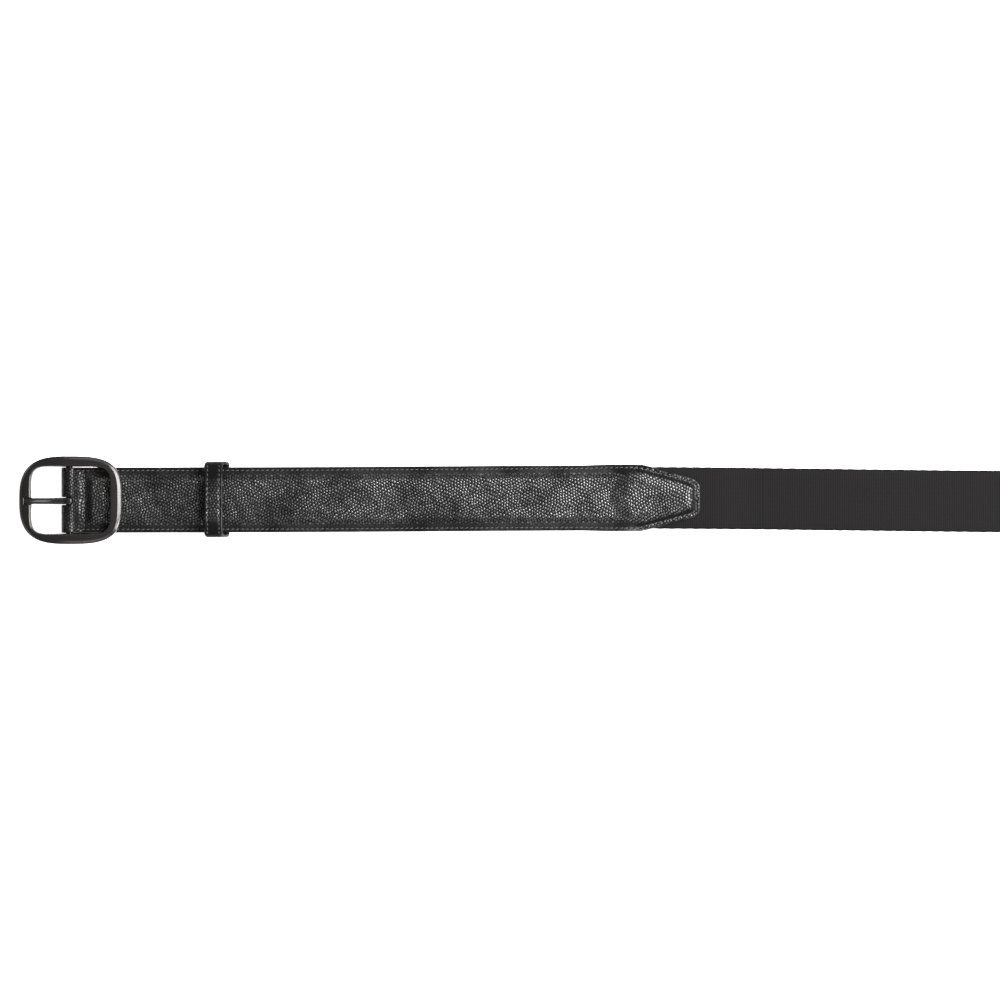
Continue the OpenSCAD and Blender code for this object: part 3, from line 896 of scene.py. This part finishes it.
def keeper():
    """The keeper's loop, and its two rows of stitches."""
    place, length = keeper_path()
    x0, x1 = KEEPER_LOW[0], KEEPER_HIGH[0]
    outline = rounded_loop([(0.1, x0), (length - 0.1, x0), (length - 0.1, x1), (0.1, x1)],
                           [0.4] * 4, 0.4)
    middle = length / 2

    def groove(s, v, e):
        off = abs(s - middle)
        line = 0.24 * hump(e - KEEPER_ROW_IN, GROOVE_HALF) * smooth((24 - off) / 8)
        # the third value paints shade: the loop is darker in colour and duller towards its ends
        return line, 0.08 + 0.62 * smooth((15 - off) / 9), 1 - 0.5 * smooth((off - 10) / 6)

    grain = pebbles(-2, length + 2, x0 - 2, x1 + 2, PEBBLE, lambda s, v: abs(s - middle) > 18)
    loop = sheet_mesh("keeper_loop", outline, [], place, flat_lift,
                      1.8, KEEPER_LEATHER, top=grain, groove=groove, edge_r=0.7,
                      body="keeper", cad=["keeper_band"], slot="keeper_leather")
    rows = [
        np.array([[middle - 21, v], [middle + 21, v]]) for v in (x0 + KEEPER_ROW_IN, x1 - KEEPER_ROW_IN)
    ]
    stitches("keeper_stitches", rows, place, lambda s, v, e: flat_lift(s, v, e) - 0.18,
             "keeper_thread", "keeper", pitch=2.6)


# ---- elastic ----
RIB, RIB_H = 1.05, 0.13
ELASTIC_HALF = node_box("elastic_band")[1][1]
# where the two lengths of webbing meet, and how far they stay clear of other ends
SEAM_X, CLEAR = TIP_X + 37.0, 6.0


def elastic_floor(x):
    """The underside of the elastic: down from the front, along the surface, up into the tail."""
    high = MARGIN_Z - FACE_T
    down = high * (1 - smooth((x - TIP_X - 4) / 31))
    return down + LINING_T * smooth((x - TAIL_X + 18) / 16)


def elastic(name, x0, x1, start, end):
    """A length of ribbed webbing from x0 to x1. start and end are not used."""
    step = RIB / 4
    stations = np.arange(round((x1 - x0) / step) + 1) * step + x0
    half = ELASTIC_HALF
    # half a cross-section: (distance across, share of the thickness)
    edge = [
        (0, 1), (0.25, 1), (0.5, 1), (0.75, 1), (0.93, 1), (0.955, 0.86), (0.985, 0.8),
        (1, 0.5), (0.985, 0.2), (0.955, 0.14), (0.93, 0), (0.75, 0), (0.5, 0), (0.25, 0), (0, 0)
    ]
    section = [(half * u, w) for u, w in edge] + [(-half * u, w) for u, w in edge[-2:0:-1]]
    u = np.array([p[0] for p in section])
    w = np.array([p[1] for p in section])
    rib = 0.5 - 0.5 * np.cos(2 * math.pi * (stations - x0) / RIB)
    calm = np.where(abs(u) > half * 0.94, 0.35, 1.0)
    floor = elastic_floor(stations)
    z = floor[:, None] + ELASTIC_T * w[None, :]
    side = np.where(w > 0.9, 1.0, 0.0) - np.where(w < 0.1, 1.0, 0.0)
    z -= (1 - rib)[:, None] * (side * calm)[None, :] * RIB_H
    y = np.broadcast_to(u[None, :], z.shape) * (1 + 0.004 * np.sin(stations * 0.9))[:, None]
    x = np.broadcast_to(stations[:, None], z.shape)
    points, faces = loft(np.stack([x, y, z], -1))
    # the colour level: low in the hollows between the ribs and along the edges, where the webbing is
    # painted darker as painted shade
    relief = (0.15 + 0.85 * rib[:, None] * calm[None, :]).ravel()
    piece = make(name, points, faces, WEBBING, relief=relief, slot="webbing")
    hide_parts("elastic_band")
    at = row([(start, 0, 0), (end, 0, 0)], bent=False)
    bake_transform(piece)


# ---- buckle ----
FRAME_L, FRAME_SHIFT, FRAME_T, ARCH_R, ARCH_UP = 61.2, 0.9, 3.2, 110.0, 5.2
OPENING_H, RAIL_W, RIM_LEFT, RIM_RIGHT = STRAP_W + 1.6, 5.8, 7.3, 6.4
REACH_LEFT, REACH_RIGHT = FRAME_L / 2 - FRAME_SHIFT, FRAME_L / 2 + FRAME_SHIFT


def arch(x, off=0.0):
    """The height of the frame's arched middle surface, or of one off it by a distance."""
    return ARCH_UP - ARCH_R + np.sqrt((ARCH_R + off) ** 2 - (x - FRAME_SHIFT) ** 2)


RIM_LOW = float(arch(-REACH_LEFT, -FRAME_T / 2))
TILT = math.asin(BAR_Z / math.hypot(REACH_LEFT, RIM_LOW)) - math.atan2(-RIM_LOW, REACH_LEFT)


def tilted(points):
    """The buckle frame's own coordinates to the belt's: it leans back on its left rim."""
    p = np.array(points, float)
    x = p[:, 0] * math.cos(TILT) - p[:, 2] * math.sin(TILT)
    z = p[:, 0] * math.sin(TILT) + p[:, 2] * math.cos(TILT) + BAR_Z
    return np.stack([x, p[:, 1], z], 1)


def oval(angle, left, right, half, power_left, power_right):
    """The place on an oval in a direction from the bar."""
    c, s = np.cos(angle), np.sin(angle)
    reach = np.where(c < 0, left, right)
    power = np.where(c < 0, power_left, power_right)
    r = (abs(c / reach) ** power + abs(s / half) ** power) ** (-1 / power)
    return np.stack([c * r, s * r], 1)


def buckle_frame():
    """The arched oval ring, with its two lugs and the notch for the prong's tip."""
    angles = np.arange(176) / 176 * 2 * math.pi
    outer = oval(angles, REACH_LEFT, REACH_RIGHT, OPENING_H / 2 + RAIL_W, 2.8, 3.4)
    inner = oval(angles, REACH_LEFT - RIM_LEFT, REACH_RIGHT - RIM_RIGHT, OPENING_H / 2, 6, 6)
    width = np.linalg.norm(outer - inner, axis=1)
    # (share of the width, millimetres more, height) round a section, from the inner wall up
    section = [
        (0, -0.42, -1.25), (0, -0.1, 0.3), (0, 0, 0.98), (0, 0.06, 1.08), (0, 0.54, 1.53),
        (0, 0.62, 1.58), (0, 0.75, 1.6), (0.3, 0, 1.6), (0.63, 0, 1.6), (0.65, 0, 1.594),
        (0.67, 0, 1.56), (0.69, 0, 1.52), (0.77, 0, 1.32), (0.85, 0, 1.12), (0.93, 0, 0.92),
        (0.95, 0, 0.84), (0.97, 0, 0.66), (0.985, 0, 0.35), (0.995, 0, -0.05), (1, 0, -0.75),
        (1, -0.12, -1.3), (1, -0.5, -1.55), (0.5, 0, -1.6), (0, -0.1, -1.58)
    ]
    rings = []
    for o, i, w in zip(outer, inner, width):
        rings.append([[*(i + (o - i) * (a + b / w)), c] for a, b, c in section])
    rings = np.array(rings)
    rings[:, :, 2] += arch(rings[:, :, 0])
    count, n = len(section), len(rings)
    faces = []
    for a in range(n):
        for b in range(count):
            c, d = (a + 1) % n, (b + 1) % count
            faces.append((a * count + b, a * count + d, c * count + d, c * count + b))
    ring = make("frame_ring", tilted(rings.reshape(-1, 3)), faces, METAL, bent=False)
    for side in (-1, 1):
        join(ring, lug(side), "UNION")
    join(ring, prong_notch(), "DIFFERENCE")
    ring.name = "frame_casting"
    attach(ring, "buckle")
    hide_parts("buckle_frame")


def prong_notch():
    """The cut in the left rim that the prong's tip drops into."""
    half = PRONG_W / 2 + 0.16
    shape = [(-26.7, 0.62), (-26.7, 4), (-18, 4), (-18, -1.2), (-25.6, -1.2), (-26.4, -0.7)]
    rings = [[(x, PRONG_Y + y, BAR_Z + z) for x, z in shape] for y in (-half, half)]
    points, faces = loft(rings)
    return make("notch", points, faces, METAL, bent=False)


def lug(side):
    """One ear that carries the bar below its rail."""
    r = EYE_R + 1.2
    low, high = OPENING_H / 2, OPENING_H / 2 + RAIL_W - 0.6
    up = 3.9
    shape = [(r, up)] + [
        (r * math.cos(a), r * math.sin(a)) for a in np.linspace(0, -math.pi, 15)
    ] + [(-r, up)]
    rings = []
    for y, shrink in ((low, 0.3), (low + 0.3, 0), (high - 0.5, 0), (high, 0.5)):
        k = 1 - shrink / r
        rings.append([(x * k, side * y, z * (k if z < 0 else 1)) for x, z in shape])
    points, faces = loft(rings)
    return make(f"lug_{side + 1}", tilted(points), faces, METAL, bent=False)


def join(target, other, operation):
    """Joins another closed piece into target, or cuts it out of target."""
    for obj in (target, other):
        tidy_normals(obj)
    modifier = target.modifiers.new("join", "BOOLEAN")
    modifier.operation = operation
    modifier.solver = "EXACT"
    modifier.object = other
    graph = bpy.context.evaluated_depsgraph_get()
    mesh = bpy.data.meshes.new_from_object(target.evaluated_get(graph), depsgraph=graph)
    target.modifiers.remove(modifier)
    target.data = mesh
    bpy.data.objects.remove(other)


def tidy_normals(obj):
    """Turns every face of a closed piece outwards."""
    work = bmesh.new()
    work.from_mesh(obj.data)
    bmesh.ops.recalc_face_normals(work, faces=work.faces)
    work.to_mesh(obj.data)
    work.free()


def squircle(count, half_w, half_h, power=2.6):
    """Points round a rounded rectangle. A higher power is squarer."""
    angles = np.arange(count) / count * 2 * math.pi
    c, s = np.cos(angles), np.sin(angles)
    return np.stack([
        np.sign(c) * half_w * abs(c) ** (2 / power), np.sign(s) * half_h * abs(s) ** (2 / power)
    ], 1)


def prong():
    """A bent rod: a loop round the bar and a straight arm whose tip lies in the rim's notch."""
    # (x, middle of the height, share of the width, half the height, how square the section is)
    stations = [
        (-1.2, 0.9, 1.0, 1.3, 2.6), (-3.2, 0.8, 1.0, 1.3, 2.6), (-5.5, 0.78, 1.0, 1.3, 2.6),
        (-8, 0.74, 0.99, 1.3, 2.8), (-10, 0.7, 0.98, 1.29, 2.8), (-12, 0.64, 0.97, 1.28, 2.8),
        (-14, 0.56, 0.97, 1.26, 2.8), (-19, 0.3, 0.96, 1.16, 2.8), (-22, 0.04, 0.95, 1.05, 2.8),
        (-24.2, -0.22, 0.93, 0.86, 2.8), (-25.6, -0.36, 0.88, 0.76, 2.6),
        (-26.2, -0.4, 0.72, 0.6, 2.4), (-26.4, -0.42, 0.5, 0.4, 2.4)
    ]
    rings = []
    for x, z, wide, half_h, power in stations:
        shape = squircle(24, PRONG_W / 2 * wide, half_h, power)
        rings.append([(x, PRONG_Y + a, BAR_Z + z + b) for a, b in shape])
    points, faces = loft(rings)
    flat = np.array(rings)
    # a painted highlight: a thin line along the middle of the arm's top, from about x = -22.5 to -9,
    # that the metal paints in a lighter colour
    along = smooth((-9 - flat[:, :, 0]) / 5) * smooth((flat[:, :, 0] + 22.5) / 2)
    ridge_highlight = np.exp(-(((flat[:, :, 1] - PRONG_Y) / 0.4) ** 2)) * along
    ridge_highlight *= flat[:, :, 2] > flat[:, :, 2].mean(1)[:, None]
    arm = make("prong_arm", points, faces, METAL, bent=False, relief=0.62 * ridge_highlight.ravel())
    rings = []
    eye_r, eye_out, around = EYE_R + 0.02, 3.4, 16
    mid_r, half_t = (eye_r + eye_out) / 2, (eye_out - eye_r) / 2
    for a in np.arange(48) / 48 * 2 * math.pi:
        shape = squircle(around, half_t, PRONG_W / 2, 4)
        rings.append([
            ((mid_r + u) * math.cos(a), PRONG_Y + v, BAR_Z + (mid_r + u) * math.sin(a))
            for u, v in shape
        ])
    points, faces = loft(rings, close_ends=False)
    last = (len(rings) - 1) * around
    faces += [(last + j, last + (j + 1) % around, (j + 1) % around, j) for j in range(around)]
    eye = make("prong_eye", points, faces, METAL, bent=False)
    join(arm, eye, "UNION")
    arm.name = "prong_rod"
    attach(arm, "prong")
    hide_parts("prong")


# ---- stage, light and camera ----
def stage():
    """A plain pale floor just under the belt, and a weak white world."""
    mesh = bpy.data.meshes.new("floor")
    size, z = 12.0, -0.00004
    mesh.from_pydata([(-size, -size, z), (size, -size, z), (size, size, z), (-size, size, z)], [],
                     [(0, 1, 2, 3)])
    floor = bpy.data.objects.new("floor", mesh)
    bpy.context.scene.collection.objects.link(floor)
    paper = shader("floor_paper", Base_Color=(0.85, 0.85, 0.85, 1), Roughness=0.95,
                   Specular_IOR_Level=0.0, Emission_Color=(1, 1, 1, 1), Emission_Strength=0.85)
    mesh.materials.append(paper[0])
    world = bpy.data.worlds.new("studio")
    bpy.context.scene.world = world
    world.use_nodes = True
    glow = world.node_tree.nodes["Background"].inputs
    glow["Color"].default_value = (1, 1, 1, 1)
    glow["Strength"].default_value = 0.14
    bpy.context.scene.view_settings.view_transform = "Standard"


def softbox(name, place, target, size, power):
    """A rectangular area light that faces a target. size is its level width and its height."""
    light = bpy.data.lights.new(name, "AREA")
    light.shape = "RECTANGLE"
    light.size, light.size_y = size
    light.energy = power
    obj = bpy.data.objects.new(name, light)
    bpy.context.scene.collection.objects.link(obj)
    obj.location = place
    obj.rotation_mode = "QUATERNION"
    obj.rotation_quaternion = (Vector(target) - Vector(place)).to_track_quat("-Z", "Y")


def lights(centre):
    """One strong strip on the right, and weak softboxes round the rest of the belt."""
    x, y = centre[:2]
    softbox("right_strip", (x + 1.12, y + 0.48, 1.42), (x, y, 0), (1.3, 0.75), 116)
    softbox("right_spot", (x + 0.9, y - 0.35, 0.8), (x, y, 0), (0.34, 0.25), 15)
    softbox("far_softbox", (x + 0.1, y + 1.1, 1.2), (x, y, 0), (1.8, 0.4), 8.5)
    softbox("near_softbox", (x - 0.1, y - 1.1, 1.2), (x, y, 0), (1.6, 0.5), 9)


def camera(centre, width, height):
    """A camera that looks straight down from a height, and sees a square of a width."""
    data = bpy.data.cameras.new("camera")
    obj = bpy.data.objects.new("camera", data)
    bpy.context.scene.collection.objects.link(obj)
    data.sensor_width = 36
    data.lens = data.sensor_width * height / width
    data.clip_end = 50
    obj.location = (centre[0], centre[1], height)
    bpy.context.scene.camera = obj


VIEW_WIDTH, VIEW_X, VIEW_Y, CAMERA_H = 583.0, 250.6, 0.1, 2200.0
view_centre = row([(VIEW_X, VIEW_Y, 0)], bent=False)[0]
camera(view_centre, VIEW_WIDTH * MM, CAMERA_H * MM)
stage()
lights(view_centre)

front_place = front_leather()
front_lining()
front_stitching(front_place)
tail_leather()
tail_stitching()
keeper()
elastic("elastic_near", TUCK_X + CLEAR, SEAM_X, HINGE_X - 9, HINGE_X + 10)
elastic("elastic_far", SEAM_X, TAIL_TUCK_X - CLEAR, SEAM_X + CLEAR,
        TAIL_X - CLEAR)
buckle_frame()
prong()
for node, material in (
    ("buckle_bar", METAL), ("keeper_staples", METAL), ("front_filler", FOAM), ("tail_filler", FOAM)
):
    frame["nodes"][node].data.materials.clear()
    frame["nodes"][node].data.materials.append(material)
